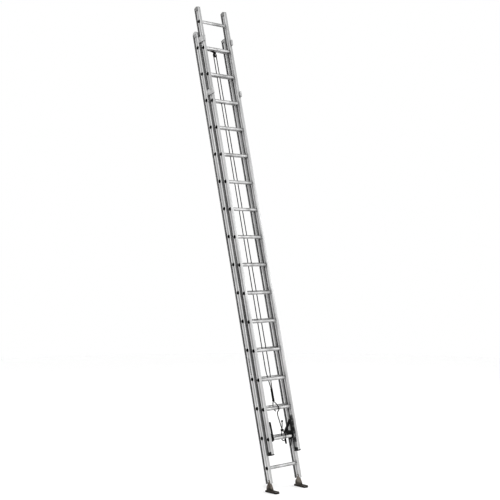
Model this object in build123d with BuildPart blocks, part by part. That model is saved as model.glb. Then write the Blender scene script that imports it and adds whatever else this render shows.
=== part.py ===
from build123d import *
import os
from math import cos, pi, radians, sin, tan

# Two-section extension ladder, leaning back on two swivel shoes.
# X runs from the left rail to the right rail, Y runs back from the climber and Z is up.
# The origin is on the ground, midway between the two shoe pivots.

# ---- driving dimensions (mm and degrees) ----
lean = 13.8                   # angle between the rails and a plumb line
section_length = 4876.8
rung_pitch = 304.8
rung_count = 16
hook_drop = 21.6              # a hooked fly rung sits this far below its base rung

base_web_x = 209.0            # centre of the base section's webs
fly_web_x = 192.0             # centre of the fly section's webs
base_depth = 74.0
fly_depth = 68.0
section_gap = 1.5             # between the base and fly flanges
flange_width = 28.0
flange_thickness = 3.2
web_thickness = 2.6
lip_depth = 5.0
lip_thickness = 1.8

rung_radius = 17.3
rung_wall = 2.0
rung_hole_radius = 17.45
rung_bead_radius = 20.5
rung_bead_width = 4.0
rung_swell_length = 4.0
rung_flare_radius = 20.5
rung_flare_width = 2.2
rung_edge = 1.0                # chamfers on the flared ends

pivot_height = 105.0          # shoe pivot above the ground
pivot_inset = 20.0            # shoe pivot above the end of the rail
shoe_bolt_radius = 5.0

sheave_x = -10.0
sheave_y = -36.0
sheave_along = 4650.0
rope_pitch_radius = 19.0      # centre line of the rope on the sheave
rope_radius = 4.75

hook_x = 145.0                # centre of each rung hook
hook_bore = rung_radius + 0.3

fly_y = -(base_depth / 2 + fly_depth / 2 + section_gap)
raised = rung_pitch - hook_drop
first_rung = rung_pitch / 2
fly_first_rung = first_rung + raised
top_rung = first_rung + rung_pitch * (rung_count - 1)

# ---- the leaning frame: x across, y back, along up the rails ----
rail_up = Vector(0, sin(radians(lean)), cos(radians(lean)))
rail_back = Vector(0, cos(radians(lean)), -sin(radians(lean)))
rail_foot = Vector(0, 0, pivot_height) - rail_up * pivot_inset


def spot(x, y, along):
    return rail_foot + Vector(x, 0, 0) + rail_back * y + rail_up * along


def across(x, y, along):
    """Plane square to the rails, looking down them."""
    return Plane(origin=spot(x, y, along), x_dir=(1, 0, 0), z_dir=rail_up)


def side(x, y, along):
    """Plane of a rail's web: local x runs back, local y runs up the rail."""
    return Plane(origin=spot(x, y, along), x_dir=rail_back, z_dir=(1, 0, 0))


def front(x, y, along):
    """Plane of the rungs, facing the climber."""
    return Plane(origin=spot(x, y, along), x_dir=(1, 0, 0), z_dir=-rail_back)


def save(piece, label):
    piece.part.label = label
    export_step(piece.part, f"parts/{label}.step")


# ---- rails: lipped I-sections, bored for the rungs ----
def make_rail(label, web_x, y, start, depth):
    flange_y = depth / 2 - flange_thickness / 2
    lip_y = depth / 2 - flange_thickness - lip_depth / 2
    lip_x = flange_width / 2 - lip_thickness / 2
    with BuildPart() as rail:
        with BuildSketch(across(web_x, y, start)):
            Rectangle(web_thickness, depth)
            with Locations((0, flange_y), (0, -flange_y)):
                Rectangle(flange_width, flange_thickness)
            with GridLocations(2 * lip_x, 2 * lip_y, 2, 2):
                Rectangle(lip_thickness, lip_depth)
        extrude(amount=section_length)
        with BuildSketch(side(web_x - web_thickness, y, start)):
            with Locations(*[(0, first_rung + n * rung_pitch) for n in range(rung_count)]):
                Circle(rung_hole_radius)
        extrude(amount=2 * web_thickness, mode=Mode.SUBTRACT)
        if y == 0:
            with BuildSketch(side(web_x - web_thickness, y, start)):
                with Locations((0, pivot_inset)):
                    Circle(shoe_bolt_radius + 0.1)
            extrude(amount=2 * web_thickness, mode=Mode.SUBTRACT)
    save(rail, label)


# ---- rungs: tubes with a bead inside each web and a flare outside it ----
def make_rung(label, web_x, y, along):
    inside = web_x - web_thickness / 2
    outside = web_x + web_thickness / 2
    bore = rung_radius - rung_wall
    shoulder = inside - rung_bead_width - rung_swell_length
    tip = outside + rung_flare_width
    half = [
        (0, rung_radius), (shoulder, rung_radius), (inside - rung_bead_width, rung_bead_radius),
        (inside, rung_bead_radius), (inside, rung_radius), (outside, rung_radius),
        (outside, rung_flare_radius), (tip, rung_flare_radius - rung_edge), (tip, bore + rung_edge),
        (outside, bore), (0, bore),
    ]
    with BuildPart() as rung:
        with BuildSketch(front(0, y, along)):
            with BuildLine():
                Polyline(*half, close=True)
            make_face()
            mirror(about=Plane.YZ)
        revolve(axis=Axis(spot(0, y, along), (1, 0, 0)))
    save(rung, label)


# ---- end caps, each with two tongues down the channels of its rail ----
channel_x = web_thickness / 2 + (flange_width - web_thickness) / 4
tongue_width = 8.5
tongue_length = 25.0
tongue_play = 1.0


def make_base_end_caps():
    tongue_depth = base_depth - 2 * (flange_thickness + lip_depth) - tongue_play
    with BuildPart() as caps:
        for web_x, dome_height in ((-base_web_x, 34.0), (base_web_x, 9.0)):
            with BuildSketch(side(web_x - flange_width / 2, 0, section_length)):
                with BuildLine():
                    ThreePointArc((-base_depth / 2, 0), (0, dome_height), (base_depth / 2, 0))
                    Line((base_depth / 2, 0), (-base_depth / 2, 0))
                make_face()
            extrude(amount=flange_width)
            with BuildSketch(across(web_x, 0, section_length)):
                with Locations((channel_x, 0), (-channel_x, 0)):
                    Rectangle(tongue_width, tongue_depth)
            extrude(amount=-tongue_length)
    save(caps, "base_end_caps")


def make_fly_caps(label, end, way, peak):
    """Caps over one end of both fly rails; way is +1 at the top and -1 at the bottom."""
    tongue_depth = fly_depth - 2 * (flange_thickness + lip_depth) - tongue_play
    base = 9.0 if way < 0 else 5.0
    lip = 2.5 if way < 0 else 1.0
    with BuildPart() as caps:
        for web_x in (-fly_web_x, fly_web_x):
            with BuildSketch(side(web_x - flange_width / 2, fly_y, end)):
                with BuildLine():
                    Polyline(
                        (-fly_depth / 2 - lip, 0), (fly_depth / 2, 0), (fly_depth / 2, way * base),
                        (0, way * (base + peak)), (-fly_depth / 2 - lip, way * base), close=True,
                    )
                make_face()
            extrude(amount=flange_width)
            with BuildSketch(across(web_x, fly_y, end)):
                with Locations((channel_x, 0), (-channel_x, 0)):
                    Rectangle(tongue_width, tongue_depth)
            extrude(amount=-way * tongue_length)
    save(caps, label)


# ---- guides that keep the fly section against the base section ----
guide_heights = (4798.0, 4189.0)
guide_tall = 62.0
guide_sheet = 3.0
guide_play = 2.0
guide_reach = 21.0            # from the fly's front flange to the guide's front
guide_lip_play = 2.5
guide_lip_width = 20.0
guide_wall_x = fly_web_x + flange_width / 2 + guide_play
guide_front_y = fly_y - fly_depth / 2 - guide_reach
guide_rivet_x = base_web_x + 7.5
guide_rivet_rise = 18.0


def make_guides():
    lip_back = fly_y - fly_depth / 2 - guide_lip_play
    foot_front = -base_depth / 2 - guide_sheet
    foot_outer = base_web_x + flange_width / 2
    with BuildPart() as guides:
        for hand in (-1, 1):
            for along in guide_heights:
                wall_outer = guide_wall_x + guide_sheet
                lip_inner = wall_outer - guide_lip_width
                outline = [
                    (foot_outer, foot_front + guide_sheet), (foot_outer, foot_front),
                    (wall_outer, foot_front), (wall_outer, guide_front_y), (lip_inner, guide_front_y),
                    (lip_inner, lip_back), (lip_inner + guide_sheet, lip_back),
                    (lip_inner + guide_sheet, guide_front_y + guide_sheet),
                    (guide_wall_x, guide_front_y + guide_sheet), (guide_wall_x, foot_front + guide_sheet),
                ]
                with BuildSketch(across(0, 0, along - guide_tall / 2)):
                    with BuildLine():
                        Polyline(*[(hand * x, y) for x, y in outline], close=True)
                    make_face()
                extrude(amount=guide_tall)
    save(guides, "fly_guides")


def make_guide_rivets():
    head_radius = 4.5
    head_height = 2.5
    head_round = 2.0
    with BuildPart() as rivets:
        for hand in (-1, 1):
            for along in guide_heights:
                for rise in (-guide_rivet_rise, guide_rivet_rise):
                    spot_y = -base_depth / 2 - guide_sheet
                    with BuildSketch(front(hand * guide_rivet_x, spot_y, along + rise)):
                        Circle(head_radius)
                    extrude(amount=head_height)
    with BuildPart() as domed:
        add(rivets.part)
        fillet(domed.faces().sort_by(Axis(spot(0, 0, 0), -rail_back))[-8:].edges(), head_round)
    save(domed, "guide_rivets")


# ---- rope pulley, hung from the base section's top rung ----
cheek_gap = 15.0
cheek_sheet = 2.5
cheek_radius = 15.0
cheek_width = 24.0
bridge_rise = 30.0            # from the sheave's centre to the underside of the bridge
bridge_thickness = 6.0
strap_width = 22.0
strap_sheet = 3.2
pin_radius = 4.0
pin_head_radius = 6.5
pin_head_height = 2.5


def make_pulley_bracket():
    strap_outer = rung_radius + strap_sheet
    bridge_low = sheave_along + bridge_rise
    bridge_high = bridge_low + bridge_thickness
    inner = cheek_gap / 2
    outer = inner + cheek_sheet
    with BuildPart() as bracket:
        for y in (sheave_y - outer, sheave_y + inner):
            with BuildSketch(front(sheave_x, y + cheek_sheet, 0)):
                with Locations((0, sheave_along)):
                    Circle(cheek_radius)
                with Locations((0, (sheave_along + bridge_high) / 2)):
                    Rectangle(cheek_width, bridge_high - sheave_along)
            extrude(amount=cheek_sheet)
        with BuildSketch(side(sheave_x - cheek_width / 2, 0, 0)):
            with Locations((sheave_y, (bridge_low + bridge_high) / 2)):
                Rectangle(2 * outer, bridge_thickness)
        extrude(amount=cheek_width)
        with BuildSketch(side(sheave_x - strap_width / 2, 0, 0)):
            with Locations((0, top_rung)):
                Circle(strap_outer)
            with BuildLine():
                Polyline(
                    (sheave_y - 4.0, bridge_low), (sheave_y + 10.0, bridge_low),
                    (-2.0, top_rung - strap_outer + 0.5), (-strap_outer + 1.0, top_rung - 4.0),
                    close=True,
                )
            make_face()
            with Locations((0, top_rung)):
                Circle(rung_radius + 0.15, mode=Mode.SUBTRACT)
        extrude(amount=strap_width)
        with BuildSketch(front(sheave_x, sheave_y - outer - 1.0, sheave_along)):
            Circle(pin_radius + 0.1)
        extrude(amount=-2 * outer - 2.0, mode=Mode.SUBTRACT)
    save(bracket, "pulley_bracket")


def make_pulley_pin():
    reach = cheek_gap / 2 + cheek_sheet
    with BuildPart() as pin:
        with BuildSketch(front(sheave_x, sheave_y - reach, sheave_along)):
            Circle(pin_radius)
        extrude(amount=-2 * reach)
        for head_y in (sheave_y - reach - pin_head_height, sheave_y + reach):
            with BuildSketch(front(sheave_x, head_y, sheave_along)):
                Circle(pin_head_radius)
            extrude(amount=-pin_head_height)
    save(pin, "pulley_pin")


def make_pulley_sheave():
    half_width = 6.9
    rim = 23.0
    bore = pin_radius + 0.08
    groove = rope_radius + 0.25
    flank = rope_pitch_radius - groove
    with BuildPart() as sheave:
        with BuildSketch(side(sheave_x, sheave_y, sheave_along)):
            with BuildLine():
                Polyline(
                    (-groove, rim), (-half_width, rim), (-half_width, bore), (half_width, bore),
                    (half_width, rim), (groove, rim), (groove, rope_pitch_radius),
                )
                ThreePointArc((groove, rope_pitch_radius), (0, flank), (-groove, rope_pitch_radius))
                Line((-groove, rope_pitch_radius), (-groove, rim))
            make_face()
        revolve(axis=Axis(spot(sheave_x, sheave_y, sheave_along), rail_back))
    save(sheave, "pulley_sheave")


# ---- rung hooks: castings that turn on the lowest fly rung ----
seat_u = -fly_y               # the base rung, seen from the fly rung
seat_v = hook_drop
seat_angle = Vector(1, 0).get_angle(Vector(seat_u, seat_v))
hook_swing = 60.0             # clear sweep below the seat
latch_u = 24.0
latch_v = -24.0
hook_thickness = 14.0
latch_pin_radius = 3.0
latch_pin_tail = 3.0


def make_hook(label, x):
    mouth_radius = rung_radius + 0.6
    reach = (seat_u ** 2 + seat_v ** 2) ** 0.5
    swing = CenterArc((0, 0), reach, -hook_swing, hook_swing + seat_angle)
    plane = side(x - hook_thickness / 2, fly_y, fly_first_rung)
    with BuildPart() as hook:
        with BuildSketch(plane):
            with BuildLine():
                Polyline(
                    (-27, 0), (-23, 60), (-18, 164), (-12, 172), (-3, 172), (4, 164), (94, 62),
                    (104, 42), (108, 28), (110, 0), (108, -62), (103, -76), (97, -62), (98, 6),
                    (60, 2), (24, -14), (0, -24), close=True,
                )
            make_face()
            Circle(28.0)
            with Locations((latch_u, latch_v)):
                Circle(11.0)
            with BuildLine():
                Polyline((-11, 54), (-8, 140), (62, 60), close=True)
            make_face(mode=Mode.SUBTRACT)
            Circle(hook_bore, mode=Mode.SUBTRACT)
            SlotArc(swing, 2 * mouth_radius, mode=Mode.SUBTRACT)
            with Locations((latch_u, latch_v)):
                Circle(latch_pin_radius + 0.1, mode=Mode.SUBTRACT)
        extrude(amount=hook_thickness)
    save(hook, label)


def make_latch(label, x, hand):
    """Finger that hangs plumb from the hook's lug, on a pin of its own."""
    plate = 5.0
    inner_face = x + hand * (hook_thickness / 2 + 0.5)
    plane = Plane(
        origin=spot(inner_face, fly_y + latch_u, fly_first_rung + latch_v),
        x_dir=(0, 1, 0), z_dir=(1, 0, 0),
    )
    with BuildPart() as latch:
        with BuildSketch(plane):
            Circle(8.5)
            with BuildLine():
                Polyline((-8.4, 0), (8.4, 0), (5.5, -40), (7.5, -84), (1.5, -88), (-4.5, -60), close=True)
            make_face()
        extrude(amount=hand * plate)
        with BuildSketch(plane):
            Circle(latch_pin_radius)
        extrude(amount=-hand * (hook_thickness + latch_pin_tail))
    save(latch, label)


def make_lock_collars():
    width = 4.0
    collar_radius = 21.5
    offset = hook_thickness / 2 + 1.0 + width / 2
    with BuildPart() as collars:
        for hook in (-hook_x, hook_x):
            for x in (hook - offset, hook + offset):
                with BuildSketch(side(x - width / 2, fly_y, fly_first_rung)):
                    Circle(collar_radius)
                    Circle(rung_radius + 0.1, mode=Mode.SUBTRACT)
                extrude(amount=width)
    save(collars, "lock_collars")


# ---- swivel shoes ----
foot_toe = -125.0
foot_heel = 37.0
foot_width = 56.0
foot_sheet = 5.0
foot_corner = 12.0
rim_thickness = 3.0
rim_height = 4.0
tread_thickness = 9.0
ear_gap = web_thickness + 0.8
ear_sheet = 4.0
ear_radius = 14.0


def make_shoe(label, web_x):
    ear_low = tread_thickness + 2.0
    with BuildPart() as shoe:
        with BuildSketch(Plane.XY.offset(tread_thickness)):
            with Locations((web_x, (foot_toe + foot_heel) / 2)):
                RectangleRounded(foot_width, foot_heel - foot_toe, foot_corner)
        extrude(amount=foot_sheet)
        for inner in (-ear_gap / 2 - ear_sheet, ear_gap / 2):
            ear_plane = Plane(origin=(web_x + inner, 0, 0), x_dir=(0, 1, 0), z_dir=(1, 0, 0))
            with BuildSketch(ear_plane):
                with Locations((0, pivot_height)):
                    Circle(ear_radius)
                with BuildLine():
                    Polyline(
                        (-18, 112), (-24, 96), (-31, 84), (-50, 52), (-58, 30), (-60, ear_low),
                        (foot_heel - 3, ear_low), (33, 50), (22, 67), (18.5, 71), (16, 79),
                        (ear_radius, pivot_height), close=True,
                    )
                make_face()
                with Locations((0, pivot_height)):
                    Circle(shoe_bolt_radius + 0.08, mode=Mode.SUBTRACT)
            extrude(amount=ear_sheet)
        rim_offset = (foot_width - rim_thickness) / 2
        for rim_x in (web_x - rim_offset, web_x + rim_offset):
            with BuildSketch(Plane.XY.offset(tread_thickness)):
                with Locations((rim_x, (foot_toe + foot_heel) / 2)):
                    Rectangle(rim_thickness, foot_heel - foot_toe - 2 * foot_corner)
            extrude(amount=foot_sheet + rim_height)
    save(shoe, label)


def make_tread(label, web_x):
    groove_count = 9
    groove_pitch = 15.0
    groove_width = 3.5
    groove_depth = 3.0
    first_groove = foot_toe + 18.0
    with BuildPart() as tread:
        with BuildSketch(Plane.XY):
            with Locations((web_x, (foot_toe + foot_heel) / 2)):
                RectangleRounded(foot_width, foot_heel - foot_toe, foot_corner)
        extrude(amount=tread_thickness)
        with BuildSketch(Plane.XY):
            with Locations(*[(web_x, first_groove + n * groove_pitch) for n in range(groove_count)]):
                Rectangle(foot_width + 2, groove_width)
        extrude(amount=groove_depth, mode=Mode.SUBTRACT)
    save(tread, label)


def make_shoe_bolts():
    head_radius = 8.0
    head_height = 3.8
    play = 0.2
    inner_face = ear_gap / 2 + ear_sheet + play
    with BuildPart() as bolts:
        for web_x in (-base_web_x, base_web_x):
            for start, radius, length in (
                (-inner_face - head_height, head_radius, head_height),
                (-inner_face - play, shoe_bolt_radius, 2 * inner_face + 2 * play),
                (inner_face, head_radius, head_height),
            ):
                bolt_plane = Plane(origin=(web_x + start, 0, pivot_height), x_dir=(0, 1, 0), z_dir=(1, 0, 0))
                with BuildSketch(bolt_plane):
                    Circle(radius)
                extrude(amount=length)
    save(bolts, "shoe_bolts")


# ---- blank labels: (y, along, width, height) on a web ----
film = 0.4
label_corner = 3.0
base_label_place = (4.0, 1202.0, 15.0, 178.0)
fly_label_places = [(fly_y, 565.0, 44.0, 170.0), (fly_y, 385.0, 44.0, 46.0)]


def make_base_label():
    face = -base_web_x - web_thickness / 2
    y, along, width, height = base_label_place
    with BuildPart() as label:
        with BuildSketch(side(face - film, y, along)):
            RectangleRounded(width, height, label_corner)
        extrude(amount=film)
    save(label, "base_label")


def make_fly_labels():
    face = fly_web_x - web_thickness / 2
    with BuildPart() as labels:
        for y, along, width, height in fly_label_places:
            with BuildSketch(side(face - film, y, along)):
                RectangleRounded(width, height, label_corner)
            extrude(amount=film)
    save(labels, "fly_labels")


# ---- rope ----
def cord_tube(label, points, radii, name):
    """Tube along straight runs joined by tangent arcs, with its volume checked."""
    with BuildPart() as cord:
        with BuildLine() as path:
            FilletPolyline(*points, radius=radii)
        route = path.wires()[0]
        with BuildSketch(Plane(origin=route @ 0, z_dir=route % 0)):
            Circle(rope_radius)
        sweep(path=route)
    length = route.length
    ratio = cord.part.volume / (pi * rope_radius ** 2 * length)
    print(name, "length", round(length), "volume ratio", round(ratio, 4))
    print(name, "radii", [round(r, 1) for r in radii])
    save(cord, label)


def corner_radii(points, share=0.45):
    radii = []
    for before, corner, after in zip(points, points[1:], points[2:]):
        run_in = corner - before
        run_out = after - corner
        half_turn = radians(run_in.get_angle(run_out) / 2)
        radii.append(share * min(run_in.length, run_out.length) / tan(half_turn))
    return radii


hank_x = 3.0
hank_top = 944.0
hank_bottom = 816.0

# corners of each rope's route: x, y, along
rope_run_route = [
    (-2, -36, 948), (-36, -36, 1130), (-29, -36, 4669), (9, -36, 4669), (22, -36, 1150), (8, -36, 948),
]
rope_hitch_route = [(-2, -36, 812), (-24, -40, 772), (-20, -44, 724), (-8, -58, 708)]
rope_tail_route = [
    (8, -36, 812), (0, -95.5, 763), (10, -95.5, 719), (6, -54, 694), (25, -52, 600), (34, -60, 512),
    (33, -101, 462), (29, -103, 424), (25, -82, 400), (22, -52, 402), (26, -36, 428), (36, -36, 466),
    (45, -50, 512), (62, -54, 606),
]


def make_rope_run():
    points = [spot(*p) for p in rope_run_route]
    radii = corner_radii(points)
    radii[1] = rope_pitch_radius - 0.2
    radii[2] = rope_pitch_radius - 0.2
    cord_tube("rope_run", points, radii, "rope run")


def make_rope_hitch():
    points = [spot(*p) for p in rope_hitch_route]
    cord_tube("rope_hitch", points, corner_radii(points), "rope hitch")


def make_rope_tail():
    points = [spot(*p) for p in rope_tail_route]
    cord_tube("rope_tail", points, corner_radii(points), "rope tail")


def make_rope_hank():
    profile = [(9.7, hank_bottom), (11.6, 835), (12, 880), (11.6, 925), (9.7, hank_top)]
    with BuildPart() as hank:
        with BuildSketch(front(hank_x, sheave_y, 0)):
            with BuildLine():
                Line((0, hank_bottom), profile[0])
                Spline(*profile)
                Line(profile[-1], (0, hank_top))
                Line((0, hank_top), (0, hank_bottom))
            make_face()
        revolve(axis=Axis(spot(hank_x, sheave_y, 0), rail_up))
    save(hank, "rope_hank")


os.makedirs("parts", exist_ok=True)
make_rail("base_left_rail", -base_web_x, 0, 0, base_depth)
make_rail("base_right_rail", base_web_x, 0, 0, base_depth)
make_rail("fly_left_rail", -fly_web_x, fly_y, raised, fly_depth)
make_rail("fly_right_rail", fly_web_x, fly_y, raised, fly_depth)
for n in range(rung_count):
    make_rung(f"base_rung_{n + 1:02d}", base_web_x, 0, first_rung + n * rung_pitch)
    make_rung(f"fly_rung_{n + 1:02d}", fly_web_x, fly_y, fly_first_rung + n * rung_pitch)
make_base_end_caps()
make_fly_caps("fly_top_caps", raised + section_length, 1, 14.0)
make_fly_caps("fly_bottom_caps", raised, -1, 3.0)
make_guides()
make_guide_rivets()
make_pulley_bracket()
make_pulley_pin()
make_pulley_sheave()
make_hook("left_rung_hook", -hook_x)
make_hook("right_rung_hook", hook_x)
make_latch("left_hook_latch", -hook_x, -1)
make_latch("right_hook_latch", hook_x, 1)
make_lock_collars()
make_shoe("left_shoe", -base_web_x)
make_shoe("right_shoe", base_web_x)
make_tread("left_shoe_tread", -base_web_x)
make_tread("right_shoe_tread", base_web_x)
make_shoe_bolts()
make_base_label()
make_fly_labels()
make_rope_run()
make_rope_hitch()
make_rope_tail()
make_rope_hank()
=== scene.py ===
from math import ceil, cos, pi, radians, sin, tau

import bmesh
import bpy
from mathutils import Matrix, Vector


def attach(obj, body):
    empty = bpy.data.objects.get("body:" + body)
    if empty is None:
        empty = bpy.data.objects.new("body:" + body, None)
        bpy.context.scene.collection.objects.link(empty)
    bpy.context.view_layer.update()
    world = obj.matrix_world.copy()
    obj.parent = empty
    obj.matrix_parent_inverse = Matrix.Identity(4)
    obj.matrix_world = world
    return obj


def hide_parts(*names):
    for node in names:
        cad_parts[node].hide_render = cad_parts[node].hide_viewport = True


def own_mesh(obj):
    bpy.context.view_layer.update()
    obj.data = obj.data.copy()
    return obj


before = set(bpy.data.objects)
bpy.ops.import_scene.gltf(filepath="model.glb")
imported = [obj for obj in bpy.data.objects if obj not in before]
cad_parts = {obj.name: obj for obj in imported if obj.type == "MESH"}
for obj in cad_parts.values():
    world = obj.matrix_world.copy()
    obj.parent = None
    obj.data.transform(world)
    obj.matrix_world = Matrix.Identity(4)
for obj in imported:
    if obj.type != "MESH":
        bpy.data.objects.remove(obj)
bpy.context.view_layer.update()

# The ladder leans back. A place on it is x across, y back from the climber and
# along up the rails, in metres from the end of the base rails.
ladder = {
    "lean": radians(13.8),
    "pivotHeight": 0.105,
    "pivotInset": 0.020,
    "rungPitch": 0.3048,
    "rungCount": 16,
    "hookDrop": 0.0216,
    "baseWebX": 0.209,
    "flyWebX": 0.192,
    "flyBack": -0.0725,
}
railUp = Vector((0, sin(ladder["lean"]), cos(ladder["lean"])))
railBack = Vector((0, cos(ladder["lean"]), -sin(ladder["lean"])))
railFoot = Vector((0, 0, ladder["pivotHeight"])) - railUp * ladder["pivotInset"]
firstRung = ladder["rungPitch"] / 2
flyRaise = ladder["rungPitch"] - ladder["hookDrop"]


def spot(x, y, along):
    return railFoot + Vector((x, 0, 0)) + railBack * y + railUp * along


# camera: level, standing to the left and in front
cameraView = {
    "place": (-7.537, -7.572, 2.459),
    "heading": radians(43),
    "focal": 74.63,
    "viewTransform": "Standard",
    "gamma": 0.75,
}
camera = bpy.data.objects.new("camera", bpy.data.cameras.new("camera"))
camera.data.lens = cameraView["focal"]
camera.location = cameraView["place"]
camera.rotation_euler = (pi / 2, 0, -cameraView["heading"])
bpy.context.scene.collection.objects.link(camera)
bpy.context.scene.camera = camera
bpy.context.scene.view_settings.view_transform = cameraView["viewTransform"]
bpy.context.scene.view_settings.gamma = cameraView["gamma"]
print("camera placed")


# shader maths
class Wire:
    # a socket that adds, subtracts and multiplies as a number does
    def __init__(self, graph, socket):
        self.graph = graph
        self.socket = socket

    def maths(self, operation, first, second):
        return self.graph.node("ShaderNodeMath", {"operation": operation}, {0: first, 1: second})

    def __add__(self, other):
        return self.maths("ADD", self, other)

    def __radd__(self, other):
        return self.maths("ADD", other, self)

    def __sub__(self, other):
        return self.maths("SUBTRACT", self, other)

    def __rsub__(self, other):
        return self.maths("SUBTRACT", other, self)

    def __mul__(self, other):
        return self.maths("MULTIPLY", self, other)

    def __rmul__(self, other):
        return self.maths("MULTIPLY", other, self)

    def __abs__(self):
        return self.graph.node("ShaderNodeMath", {"operation": "ABSOLUTE"}, {0: self})

    def out(self, name):
        return Wire(self.graph, self.socket.node.outputs[name])


class Graph:
    def __init__(self, tree):
        self.tree = tree
        tree.nodes.clear()

    def node(self, kind, settings=None, inputs=None, output=0):
        made = self.tree.nodes.new(kind)
        for name, value in (settings or {}).items():
            setattr(made, name, value)
        for name, value in (inputs or {}).items():
            if isinstance(value, Wire):
                self.tree.links.new(value.socket, made.inputs[name])
            else:
                made.inputs[name].default_value = value
        return None if output is None else Wire(self, made.outputs[output])

    def mix(self, factor, first, second, mode="MIX"):
        settings = {"data_type": "RGBA", "blend_type": mode}
        return self.node("ShaderNodeMix", settings, {0: factor, 6: first, 7: second}, 2)

    def ramp(self, value, low, high):
        # 0 below low, 1 above high, smooth between
        settings = {"interpolation_type": "SMOOTHSTEP"}
        inputs = {0: value, 1: low, 2: high, 3: 0.0, 4: 1.0}
        return self.node("ShaderNodeMapRange", settings, inputs)

    def noise(self, place, scale, detail=3.0, roughness=0.55):
        inputs = {"Vector": place, "Scale": scale, "Detail": detail, "Roughness": roughness}
        return self.node("ShaderNodeTexNoise", None, inputs)

    def objectPlace(self):
        return self.node("ShaderNodeTexCoord", None, None, "Object")

    def ladderPlace(self):
        # x across, y back, z up the rails from their foot
        shifted = (0, -railFoot.dot(railBack), -railFoot.dot(railUp))
        leaning = (ladder["lean"], 0, 0)
        inputs = {"Vector": self.objectPlace(), "Rotation": leaning, "Location": shifted}
        return self.node("ShaderNodeMapping", None, inputs)

    def stretched(self, place, scale):
        return self.node("ShaderNodeVectorMath", {"operation": "MULTIPLY"}, {0: place, 1: scale})

    def split(self, place):
        return self.node("ShaderNodeSeparateXYZ", None, {0: place})

    def bump(self, height, strength, distance):
        inputs = {"Height": height, "Strength": strength, "Distance": distance}
        return self.node("ShaderNodeBump", None, inputs)


def finish(name, build):
    # a material whose build function returns the inputs of its principled shader
    material = bpy.data.materials.new(name)
    material.use_nodes = True
    graph = Graph(material.node_tree)
    shader = graph.node("ShaderNodeBsdfPrincipled", None, build(graph))
    graph.node("ShaderNodeOutputMaterial", None, {"Surface": shader}, None)
    return material


def grey(value, warmth=0.0):
    return (value * (1 + warmth), value, value * (1 - warmth), 1)


# extruded aluminium of the rails
railFinish = {
    "pale": grey(0.90),
    "dull": grey(0.66),
    # painted shade for the faces that do not point across the ladder, mostly the flanges
    "flange": grey(0.44),
    # painted shade for the recess down the middle of the web
    "channelShade": grey(0.46),
    # near black painted shade for the corner by the back flange
    "corner": grey(0.008),
    "scuff": grey(0.94),
    "channelHalf": 0.013,
    "baseHalf": 0.037,
    "flyHalf": 0.034,
    "cornerShadeStart": 0.009,
    "cornerShadeEnd": 0.004,
    "lineScale": 700.0,
    "streakScale": 60.0,
}


def railMetal(channelBack, half):
    def build(g):
        place = g.ladderPlace()
        lines = g.noise(g.stretched(place, (1, 1, 0.004)), railFinish["lineScale"], 2)
        streaks = g.noise(g.stretched(place, (1, 1, 0.03)), railFinish["streakScale"], 4)
        patches = g.noise(place, 3.5, 4)
        back = g.split(place).out("Y")
        normal = g.node("ShaderNodeNewGeometry", None, None, "Normal")
        web = g.ramp(abs(g.split(normal).out("X")), 0.7, 0.95)
        facing = {0: normal, 1: tuple(railBack)}
        rearward = g.node("ShaderNodeVectorMath", {"operation": "DOT_PRODUCT"}, facing, 1)
        offset = abs(back - channelBack)
        edge = railFinish["channelHalf"]
        # painted shade: a darker band down the middle of the web, in the recess between the flanges
        channelShade = (1 - g.ramp(offset, edge * 0.45, edge)) * web
        worn = g.ramp(streaks + patches * 0.6, 0.62, 1.05)
        base = g.mix(worn, railFinish["pale"], railFinish["dull"])
        # painted shade: faces that do not point across the ladder, mostly the flanges, are darkened by
        # which way they face
        base = g.mix((1 - web) * 0.75, base, railFinish["flange"])
        base = g.mix(channelShade * (0.55 + streaks * 0.6), base, railFinish["channelShade"])
        # painted shade: the rail is darkened to near black towards its back flange, except on faces
        # that look back
        start, end = half - railFinish["cornerShadeStart"], half - railFinish["cornerShadeEnd"]
        corner = g.ramp(back - channelBack, start, end)
        corner = corner * (1 - g.ramp(rearward, 0.3, 0.7))
        base = g.mix(corner * (0.65 + streaks * 0.5), base, railFinish["corner"])
        scratched = g.ramp(lines, 0.66, 0.74)
        base = g.mix(scratched * 0.5, base, railFinish["scuff"])
        rough = 0.33 + patches * 0.22 + channelShade * 0.15 + lines * 0.06
        return {
            "Base Color": base,
            "Metallic": 0.85,
            "Roughness": rough,
            "Normal": g.bump(lines + streaks * 0.4, 0.25, 0.0004),
        }

    return build


# serrated rungs
rungFinish = {
    "pale": grey(0.68),
    "dull": grey(0.42),
    "fluteValleyDark": grey(0.10),
    # near black painted shade for the inside of the bore and the flare ring
    "bore": grey(0.004),
    "boreRadius": 0.0158,
    "flareShadeRadius": 0.0190,
}


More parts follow.
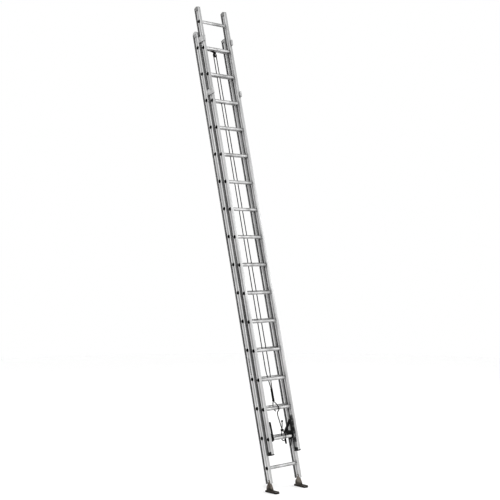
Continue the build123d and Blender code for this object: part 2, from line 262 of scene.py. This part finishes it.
def rungMetal(rungBack, firstAlong, webX):
    def build(g):
        place = g.ladderPlace()
        parts = g.split(place)
        lines = g.noise(g.stretched(place, (0.02, 1, 1)), 420.0, 2)
        patches = g.noise(place, 9.0, 4)
        # the distance from this rung's own axis
        rise = parts.out("Z") - firstAlong
        lap = g.node("ShaderNodeMath", {"operation": "PINGPONG"}, {0: rise, 1: firstRung})
        behind = parts.out("Y") - rungBack
        away = g.node("ShaderNodeMath", {"operation": "POWER"}, {0: behind, 1: 2.0})
        reach = g.node("ShaderNodeMath", {"operation": "SQRT"}, {0: away + lap * lap})
        # darker in the flute valleys, by an amount that varies in patches
        fluteValleyDark = 1 - g.ramp(reach, 0.0164, 0.0170)
        # painted shade: the inside of the bore and the flare ring outside the web are painted near
        # black, for the shade in the open tube end
        outer = g.ramp(abs(parts.out("X")), webX + 0.0012, webX + 0.0016)
        boreRim, flareShadeRim = rungFinish["boreRadius"], rungFinish["flareShadeRadius"]
        boreShadeMask = 1 - g.ramp(reach, boreRim - 0.0002, boreRim)
        flareShadeMask = (1 - g.ramp(reach, flareShadeRim - 0.001, flareShadeRim)) * outer
        bore = g.node("ShaderNodeMath", {"operation": "MAXIMUM"}, {0: boreShadeMask, 1: flareShadeMask})
        base = g.mix(g.ramp(patches, 0.35, 0.75), rungFinish["pale"], rungFinish["dull"])
        base = g.mix(fluteValleyDark * (0.35 + patches * 0.5), base, rungFinish["fluteValleyDark"])
        base = g.mix(bore, base, rungFinish["bore"])
        return {
            "Base Color": base,
            "Metallic": 0.8 - bore * 0.8,
            "Roughness": 0.30 + patches * 0.25 + fluteValleyDark * 0.1 + bore * 0.5,
            "Normal": g.bump(lines, 0.3, 0.0003),
        }

    return build


# the other finishes
def castMetal(g):
    place = g.objectPlace()
    grain = g.noise(place, 520.0, 3)
    patches = g.noise(place, 22.0, 4)
    return {
        "Base Color": g.mix(g.ramp(patches, 0.3, 0.75), grey(0.62), grey(0.38)),
        "Metallic": 0.75,
        "Roughness": 0.42 + patches * 0.25,
        "Normal": g.bump(grain, 0.35, 0.0004),
    }


def capPlastic(clean, dusty):
    def build(g):
        place = g.objectPlace()
        grain = g.noise(place, 900.0, 2)
        dust = g.ramp(g.noise(place, 40.0, 5), 0.5, 0.8)
        return {
            "Base Color": g.mix(dust, grey(clean), grey(dusty, 0.03)),
            "Roughness": 0.55 + grain * 0.15,
            "Normal": g.bump(grain, 0.3, 0.0003),
        }

    return build


def blackPaint(g):
    place = g.objectPlace()
    peel = g.noise(place, 380.0, 2)
    wear = g.ramp(g.noise(place, 95.0, 5), 0.66, 0.74)
    dust = g.ramp(g.noise(place, 30.0, 4), 0.45, 0.8)
    coat = g.mix(dust, grey(0.003), grey(0.010, 0.02))
    return {
        "Base Color": g.mix(wear, coat, grey(0.12)),
        "Metallic": wear * 0.9,
        "Roughness": 0.42 + dust * 0.2 + peel * 0.08,
        "Specular IOR Level": 0.3,
        "Normal": g.bump(peel - wear * 0.6, 0.25, 0.0004),
    }


def sheavePlastic(g):
    place = g.objectPlace()
    rings = g.noise(place, 300.0, 3)
    return {
        "Base Color": g.mix(rings, grey(0.006), grey(0.02)),
        "Roughness": 0.4 + rings * 0.2,
        "Normal": g.bump(rings, 0.2, 0.0003),
    }


def zincSteel(g):
    place = g.objectPlace()
    spangle = g.node("ShaderNodeTexVoronoi", None, {"Vector": place, "Scale": 260.0}, "Color")
    tone = g.node("ShaderNodeRGBToBW", None, {0: spangle})
    tarnish = g.ramp(g.noise(place, 120.0, 4), 0.4, 0.8)
    return {
        "Base Color": g.mix(tarnish, grey(0.62), grey(0.34, 0.05)),
        "Metallic": 0.9,
        "Roughness": 0.28 + tone * 0.2 + tarnish * 0.15,
        "Normal": g.bump(tone, 0.1, 0.0002),
    }


def shoeMetal(g):
    place = g.objectPlace()
    brushed = g.noise(g.stretched(place, (1, 0.08, 1)), 480.0, 3)
    dirt = g.ramp(g.noise(place, 26.0, 5), 0.38, 0.72)
    low = 1 - g.ramp(g.split(place).out("Z"), 0.030, 0.050)
    base = g.mix(dirt, grey(0.24, 0.10), grey(0.11, 0.14))
    return {
        "Base Color": g.mix(low * 0.6 + low * dirt * 0.4, base, grey(0.035, 0.14)),
        "Metallic": 0.7,
        "Roughness": 0.40 + dirt * 0.25,
        "Normal": g.bump(brushed, 0.3, 0.0004),
    }


def treadRubber(g):
    place = g.objectPlace()
    grain = g.noise(place, 650.0, 3)
    dust = g.ramp(g.noise(place, 45.0, 5), 0.42, 0.8)
    return {
        "Base Color": g.mix(dust, grey(0.006), grey(0.022, 0.06)),
        "Roughness": 0.72 + grain * 0.15,
        "Normal": g.bump(grain, 0.5, 0.0005),
    }


def labelFilm(g):
    place = g.ladderPlace()
    along = g.split(place).out("Z")
    fade = g.noise(place, 30.0, 4)
    band = g.node("ShaderNodeMath", {"operation": "PINGPONG"}, {0: along, 1: 0.028})
    panel = g.ramp(band, 0.0215, 0.0225)
    base = g.mix(panel, grey(0.055), grey(0.20))
    return {
        "Base Color": g.mix(g.ramp(fade, 0.55, 0.8), base, grey(0.30)),
        "Roughness": 0.30 + fade * 0.2,
        "Coat Weight": 0.3,
    }


def paleLabelFilm(g):
    place = g.ladderPlace()
    along = g.split(place).out("Z")
    fade = g.noise(place, 40.0, 4)
    band = g.node("ShaderNodeMath", {"operation": "PINGPONG"}, {0: along, 1: 0.013})
    panel = g.ramp(band, 0.0055, 0.0062)
    base = g.mix(panel, grey(0.09), grey(0.30))
    return {
        "Base Color": g.mix(g.ramp(fade, 0.5, 0.8), base, grey(0.38)),
        "Roughness": 0.32 + fade * 0.2,
        "Coat Weight": 0.3,
    }


def ropeFibre(g):
    place = g.objectPlace()
    fibres = g.noise(place, 1500.0, 2)
    fuzz = g.noise(place, 160.0, 3)
    worn = g.ramp(fuzz, 0.5, 0.8)
    return {
        "Base Color": g.mix(worn, grey(0.004), grey(0.016, 0.02)),
        "Roughness": 0.6 + fibres * 0.25,
        "Specular IOR Level": 0.2,
        "Normal": g.bump(fibres, 0.6, 0.0005),
    }


finishes = {
    "baseRail": finish("baseRailAluminium", railMetal(0.0, railFinish["baseHalf"])),
    "flyRail": finish("flyRailAluminium", railMetal(ladder["flyBack"], railFinish["flyHalf"])),
    "baseRung": finish("baseRungAluminium", rungMetal(0.0, firstRung, ladder["baseWebX"])),
    "flyRung": finish(
        "flyRungAluminium", rungMetal(ladder["flyBack"], firstRung + flyRaise, ladder["flyWebX"])
    ),
    "cast": finish("castAluminium", castMetal),
    "topCap": finish("topCapPlastic", capPlastic(0.26, 0.36)),
    "footCap": finish("footCapPlastic", capPlastic(0.010, 0.035)),
    "paint": finish("blackPaint", blackPaint),
    "sheave": finish("sheavePlastic", sheavePlastic),
    "zinc": finish("zincSteel", zincSteel),
    "shoe": finish("shoeAluminium", shoeMetal),
    "tread": finish("treadRubber", treadRubber),
    "label": finish("labelFilm", labelFilm),
    "paleLabel": finish("paleLabelFilm", paleLabelFilm),
    "rope": finish("ropeFibre", ropeFibre),
}
print("finishes made:", len(finishes))


# making pieces
def place(name, mesh, material=None):
    piece = bpy.data.objects.new(name, mesh)
    bpy.context.scene.collection.objects.link(piece)
    if material:
        mesh.materials.clear()
        mesh.materials.append(material)
    return piece


def settled(piece):
    # the piece's modifiers become part of a plain mesh
    bpy.context.view_layer.update()
    evaluated = piece.evaluated_get(bpy.context.evaluated_depsgraph_get())
    mesh = bpy.data.meshes.new_from_object(evaluated)
    piece.modifiers.clear()
    piece.data = mesh
    mesh.name = piece.name
    return piece


def smoothFaces(mesh, angle):
    mesh.shade_smooth()
    mesh.set_sharp_from_angle(angle=angle)


edges = {"sharp": radians(32), "segments": 2, "weld": 2e-5, "flat": radians(0.4)}


def edged(name, nodes, body, material, edge):
    # a copy of one body's CAD solids with its edges rounded
    shape = bmesh.new()
    for node in nodes:
        shape.from_mesh(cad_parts[node].data)
    bmesh.ops.remove_doubles(shape, verts=shape.verts, dist=edges["weld"])
    bmesh.ops.dissolve_limit(shape, angle_limit=edges["flat"], verts=shape.verts, edges=shape.edges)
    mesh = bpy.data.meshes.new(name)
    shape.to_mesh(mesh)
    shape.free()
    piece = place(name, mesh, material)
    bevel = piece.modifiers.new("edges", "BEVEL")
    bevel.width = edge
    bevel.segments = edges["segments"]
    bevel.limit_method = "ANGLE"
    bevel.angle_limit = edges["sharp"]
    settled(piece)
    smoothFaces(piece.data, edges["sharp"])
    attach(piece, body)
    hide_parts(*nodes)
    return piece


# rope
# routes are in millimetres: across, back and along the ladder
rope = {
    "diameter": 0.0095,
    "layLength": 0.032,
    "ringGap": 0.0034,
    "strandSides": 6,
    "swell": 1.08,
    "step": 0.004,
    "runSteps": 64,
    "turnSteps": 6,
    "back": -0.036,
    "fallEnd": 0.948,
    "sheaveX": -0.010,
    "sheaveLevel": 4.645,
    "rungsRaised": 12,
    "halyard": [
        (-2, -36, 948), (-22, -36, 1053), (-36, -36, 1130), (-35.8, -36, 1240),
        (-29.1, -36, 4612), (-29, -36, 4669), (9, -36, 4669), (9.2, -36, 4612),
        (21.6, -36, 1290), (22, -36, 1150), (16, -36, 1060), (8, -36, 948),
    ],
    "hitch": [(-2, -36, 812), (-24, -40, 772), (-20, -44, 724), (-8, -58, 708)],
    "tail": [
        (8, -36, 812), (0, -95.5, 763), (10, -95.5, 719), (6, -54, 694), (25, -52, 600),
        (34, -60, 512), (33, -101, 462), (29, -103, 424), (25, -82, 400), (22, -52, 402),
        (26, -36, 428), (36, -36, 466), (45, -50, 512), (62, -54, 606),
    ],
}


def routeLine(route, resolution=24):
    # the points of a NURBS curve through the route, read from its unbevelled shape
    curve = bpy.data.curves.new("route", "CURVE")
    curve.dimensions = "3D"
    curve.resolution_u = resolution
    spline = curve.splines.new("NURBS")
    spline.points.add(len(route) - 1)
    for point, corner in zip(spline.points, route):
        point.co = (*corner, 1)
    spline.order_u = 3
    spline.use_endpoint_u = True
    holder = bpy.data.objects.new("route", curve)
    mesh = bpy.data.meshes.new_from_object(holder)
    line = [vertex.co.copy() for vertex in mesh.vertices]
    bpy.data.objects.remove(holder)
    bpy.data.curves.remove(curve)
    bpy.data.meshes.remove(mesh)
    return line


def millimetres(route):
    return [spot(x / 1000, y / 1000, along / 1000) for x, y, along in route]


def lengthOf(line):
    return sum((after - before).length for before, after in zip(line, line[1:]))


def stepped(line, gap):
    # the same line with its points evenly spaced
    total = lengthOf(line)
    count = max(2, ceil(total / gap))
    steps, travelled, index = [line[0]], 0.0, 0
    for n in range(1, count):
        target = total * n / count
        while travelled + (line[index + 1] - line[index]).length < target:
            travelled += (line[index + 1] - line[index]).length
            index += 1
        run = line[index + 1] - line[index]
        steps.append(line[index] + run * ((target - travelled) / run.length))
    return steps + [line[-1]]


def twistedRope(name, line):
    # three strands laid round the line, with closed ends
    radius = rope["diameter"] / 2 / (1 + 2 / 3 ** 0.5)
    offset = radius * 2 / 3 ** 0.5
    rings = stepped(line, rope["ringGap"])
    sides = rope["strandSides"]
    shape = bmesh.new()
    ahead = [(b - a).normalized() for a, b in zip(rings, rings[1:])]
    ahead.append(ahead[-1])
    across = ahead[0].orthogonal().normalized()
    previous = [None] * 3
    travelled = 0.0
    for index, (centre, way) in enumerate(zip(rings, ahead)):
        across = (across - way * across.dot(way)).normalized()
        over = way.cross(across)
        if index:
            travelled += (centre - rings[index - 1]).length
        for strand in range(3):
            turn = tau * (strand / 3 + travelled / rope["layLength"])
            middle = centre + (across * cos(turn) + over * sin(turn)) * offset
            loop = [
                shape.verts.new(middle + (across * cos(a) + over * sin(a)) * radius * rope["swell"])
                for a in (turn + tau * k / sides for k in range(sides))
            ]
            if previous[strand]:
                ring = previous[strand]
                for k in range(sides):
                    after = (k + 1) % sides
                    shape.faces.new((ring[k], ring[after], loop[after], loop[k]))
            else:
                shape.faces.new(list(reversed(loop)))
            if index == len(rings) - 1:
                shape.faces.new(loop)
            previous[strand] = loop
    mesh = bpy.data.meshes.new(name)
    shape.to_mesh(mesh)
    shape.free()
    mesh.shade_smooth()
    return place(name, mesh, finishes["rope"])


def ropeCord(name, line, body, nodes):
    piece = twistedRope(name, line)
    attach(piece, body)
    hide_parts(*nodes)
    lengthOf(line)
    print(name, "length", round(lengthOf(line), 3))
    return piece


def alongOf(point):
    return (point - railFoot).dot(railUp)


# the halyard in three: the arc over the sheave, and a fall each side
halyard = stepped(routeLine(millimetres(rope["halyard"]), rope["runSteps"]), rope["step"])
above = [n for n, point in enumerate(halyard) if alongOf(point) > rope["sheaveLevel"]]
first, last = above[0], above[-1]
ropeCord("halyardOverPulley", halyard[first:last + 1], "base_section", ["rope_run"])
anchor = tuple(spot(rope["sheaveX"], rope["back"], rope["sheaveLevel"]))
for name, fall in (("halyardLeftFall", halyard[first::-1]), ("halyardRightFall", halyard[last:])):
    piece = ropeCord(name, fall, "base_section", ["rope_run"])
    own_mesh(piece)

# the slack twisted into a hank of four strands
hank = {
    "x": 0.003,
    "top": 0.946,
    "bottom": 0.814,
    "radius": 0.0070,
    "turns": 2.5,
    "stepsPerTurn": 14,
}


def hankLine(phase):
    count = ceil(hank["turns"] * hank["stepsPerTurn"])
    points = []
    for n in range(count + 1):
        share = n / count
        turn = phase + tau * hank["turns"] * share
        along = hank["top"] + (hank["bottom"] - hank["top"]) * share
        x = hank["x"] + hank["radius"] * cos(turn)
        y = rope["back"] + hank["radius"] * sin(turn)
        points.append(spot(x, y, along))
    return routeLine(points, rope["turnSteps"])


for name, phase in (
    ("hankLeftTwist", pi),
    ("hankRightTwist", 0.0),
    ("hankFrontTwist", pi / 2),
    ("hankBackTwist", -pi / 2),
):
    ropeCord(name, hankLine(phase), "fly_section", ["rope_hank"])


# knots: a few turns of rope round an axis
knots = {
    "hankBand": {
        "at": (3, -36, 822), "tilt": (0, 0, 1), "radius": 0.0093, "turns": 1.6,
        "thickness": 0.0075,
    },
    "tailKnot": {
        "at": (39, -56, 508), "tilt": (0.1, -0.05, 1), "radius": 0.0125, "turns": 2.3,
        "thickness": 0.0085,
    },
    "endKnot": {
        "at": (60.5, -53.5, 598), "tilt": (0.15, -0.03, 1), "radius": 0.0062, "turns": 2.0,
        "thickness": 0.0085,
    },
}
knotMesh = {"stepsPerTurn": 14, "gap": 0.002, "sides": 8, "taperStart": 0.35, "taperRings": 6}


def windKnot(name, sizes):
    x, y, along = (value / 1000 for value in sizes["at"])
    tiltX, tiltY, tiltUp = sizes["tilt"]
    way = (Vector((tiltX, 0, 0)) + railBack * tiltY + railUp * tiltUp).normalized()
    across = way.orthogonal().normalized()
    over = way.cross(across)
    steps = knotMesh["stepsPerTurn"]
    count = ceil(sizes["turns"] * steps)
    line = []
    for n in range(count + 1):
        turn = tau * n / steps
        rise = (n / count - 0.5) * sizes["turns"] * sizes["thickness"]
        outward = across * cos(turn) + over * sin(turn)
        line.append(spot(x, y, along) + outward * sizes["radius"] + way * rise)
    smooth = stepped(routeLine(line, rope["turnSteps"]), knotMesh["gap"])
    shape = bmesh.new()
    sides = knotMesh["sides"]
    rings = []
    for index, centre in enumerate(smooth):
        before, after = smooth[max(index - 1, 0)], smooth[min(index + 1, len(smooth) - 1)]
        forward = (after - before).normalized()
        side = forward.cross(way).normalized()
        up = side.cross(forward)
        # the ends of the wrap taper into the rope under it
        fromEnd = min(index, len(smooth) - 1 - index)
        taper = min(1.0, knotMesh["taperStart"] + fromEnd / knotMesh["taperRings"])
        rings.append([
            shape.verts.new(centre + (side * cos(a) + up * sin(a)) * sizes["thickness"] / 2 * taper)
            for a in (tau * k / sides for k in range(sides))
        ])
    for ring, following in zip(rings, rings[1:]):
        for k in range(sides):
            shape.faces.new((ring[k], ring[(k + 1) % sides], following[(k + 1) % sides], following[k]))
    shape.faces.new(list(reversed(rings[0])))
    shape.faces.new(rings[-1])
    bmesh.ops.recalc_face_normals(shape, faces=shape.faces)
    mesh = bpy.data.meshes.new(name)
    shape.to_mesh(mesh)
    shape.free()
    mesh.shade_smooth()
    piece = place(name, mesh, finishes["rope"])
    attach(piece, "fly_section")
    return piece


tied = {name: windKnot(name, sizes) for name, sizes in knots.items()}
hitchLine, tailLine = (routeLine(millimetres(rope[part])) for part in ("hitch", "tail"))
ropeCord(
    "hitchRope", hitchLine, "fly_section", ["rope_hitch"]
)
ropeCord(
    "tailRope", tailLine, "fly_section", ["rope_tail"],
)
print("rope laid")


# rungs: one fluted tube, repeated up the rails by Geometry Nodes
rungs = {
    "radius": 0.0173,
    "fluteDepth": 0.0007,
    "flutes": 36,
    "wall": 0.002,
    "beadRadius": 0.0205,
    "beadWidth": 0.004,
    "swell": 0.004,
    "flareRadius": 0.0205,
    "flareWidth": 0.0022,
    "edge": 0.001,
    "corner": 0.0006,
    "web": 0.0026,
    "turnSeed": 7,
}


def rungShape(name, webX):
    inside = webX - rungs["web"] / 2
    outside = webX + rungs["web"] / 2
    radius, bore = rungs["radius"], rungs["radius"] - rungs["wall"]
    tip = outside + rungs["flareWidth"]
    barrelEnd = inside - rungs["beadWidth"] - rungs["swell"]
    bead, flare, corner = rungs["beadRadius"], rungs["flareRadius"], rungs["corner"]
    # x, radius and whether the ring is fluted, from the barrel out to the flare and back
    half = [
        (barrelEnd - 0.002, radius, True),
        (barrelEnd, radius, False),
        (inside - rungs["beadWidth"], bead, False),
        (inside - corner, bead, False),
        (inside, bead - corner, False),
        (inside, radius, False),
        (outside, radius, False),
        (outside, flare - corner, False),
        (outside + corner, flare, False),
        (tip, flare - rungs["edge"], False),
        (tip, bore + rungs["edge"], False),
        (outside, bore, False),
    ]
    outline = [(-x, r, fluted) for x, r, fluted in reversed(half)] + half
    sides = rungs["flutes"] * 2
    shape = bmesh.new()
    rings = []
    for x, r, fluted in outline:
        ring = []
        for k in range(sides):
            turn = tau * k / sides
            depth = rungs["fluteDepth"] if fluted and k % 2 else 0.0
            around = railBack * cos(turn) + railUp * sin(turn)
            ring.append(shape.verts.new(Vector((x, 0, 0)) + around * (r - depth)))
        rings.append(ring)
    for ring, following in zip(rings, rings[1:] + rings[:1]):
        for k in range(sides):
            after = (k + 1) % sides
            shape.faces.new((ring[k], following[k], following[after], ring[after]))
    bmesh.ops.recalc_face_normals(shape, faces=shape.faces)
    mesh = bpy.data.meshes.new(name)
    shape.to_mesh(mesh)
    shape.free()
    smoothFaces(mesh, radians(40))
    return mesh


def newTree(name, sizes):
    # a geometry tree with named inputs; returns the graph, its inputs and their identifiers
    tree = bpy.data.node_groups.new(name, "GeometryNodeTree")
    tree.interface.new_socket("Geometry", in_out="INPUT", socket_type="NodeSocketGeometry")
    tree.interface.new_socket("Geometry", in_out="OUTPUT", socket_type="NodeSocketGeometry")
    keys = {}
    for label, kind in sizes.items():
        socket = tree.interface.new_socket(label, in_out="INPUT", socket_type=kind)
        keys[label] = socket.identifier
    graph = Graph(tree)
    return graph, graph.node("NodeGroupInput"), keys


def endTree(graph, geometry, inputs):
    whole = graph.node("GeometryNodeRealizeInstances", None, {"Geometry": geometry})
    painting = {"Geometry": whole, "Material": inputs.out("Material")}
    painted = graph.node("GeometryNodeSetMaterial", None, painting)
    graph.node("NodeGroupOutput", None, {"Geometry": painted}, None)


def grown(piece, graph, keys, values):
    modifier = piece.modifiers.new(graph.tree.name, "NODES")
    modifier.node_group = graph.tree
    for label, value in values.items():
        modifier[keys[label]] = value
    return settled(piece)


rungGraph, rungInputs, rungKeys = newTree("rungRow", {
    "Count": "NodeSocketInt",
    "First": "NodeSocketVector",
    "Step": "NodeSocketVector",
    "Seed": "NodeSocketInt",
    "Material": "NodeSocketMaterial",
})
ladderPoints = rungGraph.node("GeometryNodeMeshLine", {"mode": "OFFSET"}, {
    "Count": rungInputs.out("Count"),
    "Start Location": rungInputs.out("First"),
    "Offset": rungInputs.out("Step"),
})
anyTurn = rungGraph.node("FunctionNodeRandomValue", {"data_type": "FLOAT"}, {
    2: 0.0, 3: tau, "Seed": rungInputs.out("Seed"),
}, 1)
turned = rungGraph.node("FunctionNodeAxisAngleToRotation", None, {"Axis": (1, 0, 0), "Angle": anyTurn})
rungCopies = rungGraph.node("GeometryNodeInstanceOnPoints", None, {
    "Points": ladderPoints,
    "Instance": rungInputs.out("Geometry"),
    "Rotation": turned,
})
endTree(rungGraph, rungCopies, rungInputs)

flyFirst = firstRung + flyRaise
for name, webX, back, along, body, prefix, material in (
    ("baseRungs", ladder["baseWebX"], 0.0, firstRung, "base_section", "base_rung", "baseRung"),
    ("flyRungs", ladder["flyWebX"], ladder["flyBack"], flyFirst, "fly_section", "fly_rung", "flyRung"),
):
    piece = place(name, rungShape(name, webX))
    grown(piece, rungGraph, rungKeys, {
        "Count": ladder["rungCount"],
        "First": tuple(spot(0, back, along)),
        "Step": tuple(railUp * ladder["rungPitch"]),
        "Seed": rungs["turnSeed"],
        "Material": finishes[material],
    })
    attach(piece, body)
    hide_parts(*[f"{prefix}_{n + 1:02d}" for n in range(ladder["rungCount"])])
print("rungs grown")


# rails, caps, guides, hooks and shoes: the CAD solids with softened edges
edgedPieces = [
    ("baseLeftRail", ["base_left_rail"], "base_section", "rail_aluminium", "baseRail", 0.0006),
    ("baseRightRail", ["base_right_rail"], "base_section", "rail_aluminium", "baseRail", 0.0006),
    ("flyLeftRail", ["fly_left_rail"], "fly_section", "rail_aluminium", "flyRail", 0.0006),
    ("flyRightRail", ["fly_right_rail"], "fly_section", "rail_aluminium", "flyRail", 0.0006),
    ("baseEndCaps", ["base_end_caps"], "base_section", "cast_aluminium", "cast", 0.0022),
    ("flyGuides", ["fly_guides"], "base_section", "cast_aluminium", "cast", 0.0009),
    ("flyTopCaps", ["fly_top_caps"], "fly_section", "cap_plastic", "topCap", 0.0020),
    ("flyBottomCaps", ["fly_bottom_caps"], "fly_section", "cap_plastic", "footCap", 0.0018),
    ("pulleyBracket", ["pulley_bracket"], "base_section", "black_paint", "paint", 0.0006),
    ("pulleyPin", ["pulley_pin"], "base_section", "zinc_steel", "zinc", 0.0007),
    ("pulleySheave", ["pulley_sheave"], "pulley", "sheave_plastic", "sheave", 0.0006),
    ("leftRungHook", ["left_rung_hook"], "left_hook", "black_paint", "paint", 0.0016),
    ("rightRungHook", ["right_rung_hook"], "right_hook", "black_paint", "paint", 0.0016),
    ("leftHookLatch", ["left_hook_latch"], "left_latch", "black_paint", "paint", 0.0010),
    ("rightHookLatch", ["right_hook_latch"], "right_latch", "black_paint", "paint", 0.0010),
    ("lockCollars", ["lock_collars"], "fly_section", "black_paint", "paint", 0.0006),
    ("leftShoe", ["left_shoe"], "left_foot", "shoe_aluminium", "shoe", 0.0012),
    ("rightShoe", ["right_shoe"], "right_foot", "shoe_aluminium", "shoe", 0.0012),
    ("leftShoeTread", ["left_shoe_tread"], "left_foot", "tread_rubber", "tread", 0.0010),
    ("rightShoeTread", ["right_shoe_tread"], "right_foot", "tread_rubber", "tread", 0.0010),
    ("shoeBolts", ["shoe_bolts"], "base_section", "zinc_steel", "zinc", 0.0010),
    ("guideRivets", ["guide_rivets"], "base_section", "zinc_steel", "zinc", 0.0004),
    ("baseLabel", ["base_label"], "base_section", "label_film", "paleLabel", 0.0001),
    ("flyLabels", ["fly_labels"], "fly_section", "label_film", "label", 0.0001),
]
for name, nodes, body, slot, material, edge in edgedPieces:
    edged(name, nodes, body, finishes[material], edge)
print("edged pieces made:", len(edgedPieces))


# floor and light
studio = {
    "floorRadius": 14.0,
    "floorSides": 96,
    "floorDrop": 0.0005,
    "sky": 1.0,
    "aimAlong": 2.5,
    "keyLight": {"place": (-5.5, -6.0, 7.5), "power": 260.0, "size": 3.5},
    "fillLight": {"place": (6.5, -4.0, 4.5), "power": 120.0, "size": 4.0},
}


def floorPaint(g):
    place = g.objectPlace()
    mottle = g.noise(place, 6.0, 4)
    return {
        "Base Color": g.mix(mottle, grey(0.965), grey(0.985)),
        "Roughness": 0.7 + mottle * 0.1,
    }


floorShape = bmesh.new()
rim = []
for k in range(studio["floorSides"]):
    turn = tau * k / studio["floorSides"]
    x, y = studio["floorRadius"] * cos(turn), studio["floorRadius"] * sin(turn)
    rim.append(floorShape.verts.new((x, y, -studio["floorDrop"])))
floorShape.faces.new(rim)
floorMesh = bpy.data.meshes.new("floor")
floorShape.to_mesh(floorMesh)
floorShape.free()
place("floor", floorMesh, finish("paleFloor", floorPaint))

world = bpy.data.worlds.new("studio")
world.use_nodes = True
sky = Graph(world.node_tree)
glow = sky.node("ShaderNodeBackground", None, {"Color": (1, 1, 1, 1), "Strength": studio["sky"]})
sky.node("ShaderNodeOutputWorld", None, {"Surface": glow}, None)
bpy.context.scene.world = world
for name in ("keyLight", "fillLight"):
    light = bpy.data.lights.new(name, "AREA")
    light.energy = studio[name]["power"]
    light.size = studio[name]["size"]
    lamp = bpy.data.objects.new(name, light)
    lamp.location = studio[name]["place"]
    aim = spot(0, 0, studio["aimAlong"]) - lamp.location
    lamp.rotation_euler = aim.to_track_quat("-Z", "Y").to_euler()
    bpy.context.scene.collection.objects.link(lamp)
print("studio lit")
